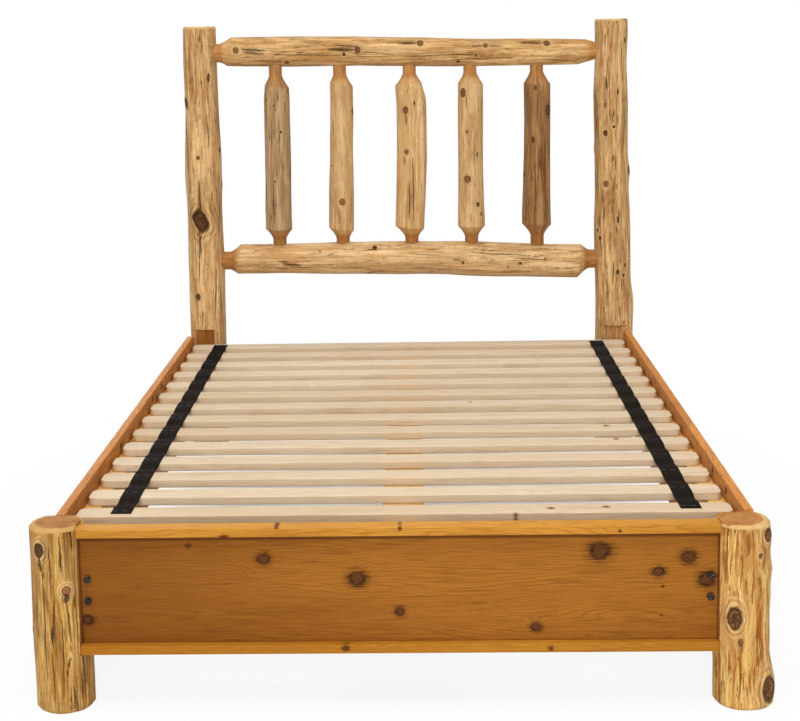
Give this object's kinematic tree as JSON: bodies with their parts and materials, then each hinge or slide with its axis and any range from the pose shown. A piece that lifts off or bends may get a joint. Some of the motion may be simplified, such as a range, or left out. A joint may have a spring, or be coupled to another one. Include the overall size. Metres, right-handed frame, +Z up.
{
  "type": "rustic log bed",
  "caption": "Double bed of peeled logs: tenoned headboard with spindles, notched foot posts with a foot board, side rails with ledgers, and a strapped mat of slats.",
  "frame": {"origin": "on the floor under the foot of the centre leg, halfway between the side rails and halfway between the foot board's back and the head ends of the side rails", "axes": "+Z up, +Y towards the headboard, +X to the right seen from the foot"},
  "size_m": [1.5222, 2.1094, 1.394],
  "materials": {
    "head_post_log": "peeled log, clear satin coat",
    "head_rail_log": "peeled log, clear satin coat",
    "spindle_log": "peeled log, clear satin coat",
    "foot_post_log": "peeled log, clear satin coat",
    "side_rail_wood": "stained board, satin",
    "ledger_wood": "sawn pine, dull",
    "frame_wood": "sawn pine, dull",
    "foot_board_wood": "knotty pine, satin",
    "foot_strip_wood": "pine, satin",
    "slat_wood": "planed pine, dull",
    "webbing": "woven webbing",
    "staple_steel": "bright wire",
    "dark_bolt_steel": "dull, dark",
    "screw_steel": "dull zinc"
  },
  "bodies": {
    "frame": {"head_post_left": "head_post_log", "head_post_right": "head_post_log", "head_top_rail": "head_rail_log", "head_bottom_rail": "head_rail_log", "foot_post_left": "foot_post_log", "foot_post_right": "foot_post_log", "side_rail_left": "side_rail_wood", "side_rail_right": "side_rail_wood", "ledger_left": "ledger_wood", "ledger_right": "ledger_wood", "foot_block_left": "frame_wood", "foot_block_right": "frame_wood", "head_block_left": "frame_wood", "head_block_right": "frame_wood", "foot_board": "foot_board_wood", "foot_cap": "foot_strip_wood", "foot_bottom_strip": "foot_strip_wood", "centre_beam": "frame_wood", "centre_leg": "frame_wood", "head_cross_rail": "frame_wood", "beam_cleat": "frame_wood", "foot_bolts": "dark_bolt_steel", "foot_washers": "dark_bolt_steel", "foot_nuts": "dark_bolt_steel", "head_lag_bolts": "dark_bolt_steel", "head_washers": "dark_bolt_steel", "ledger_screws": "screw_steel", "rail_screws": "screw_steel", "beam_screws": "screw_steel", "cap_nails": "screw_steel", "strip_nails": "screw_steel", "head_spindle_1": "spindle_log", "head_spindle_2": "spindle_log", "head_spindle_3": "spindle_log", "head_spindle_4": "spindle_log", "head_spindle_5": "spindle_log"},
    "slat_mat": {"slat_01": "slat_wood", "slat_02": "slat_wood", "slat_03": "slat_wood", "slat_04": "slat_wood", "slat_05": "slat_wood", "slat_06": "slat_wood", "slat_07": "slat_wood", "slat_08": "slat_wood", "slat_09": "slat_wood", "slat_10": "slat_wood", "slat_11": "slat_wood", "slat_12": "slat_wood", "slat_13": "slat_wood", "slat_14": "slat_wood", "strap_left": "webbing", "strap_right": "webbing", "strap_staples": "staple_steel"}
  },
  "joints": [
    {"name": "slat_mat_lift", "type": "slide", "parent": "frame", "child": "slat_mat", "axis": [0, 0, 1], "range_m": [0, 0.3]}
  ]
}
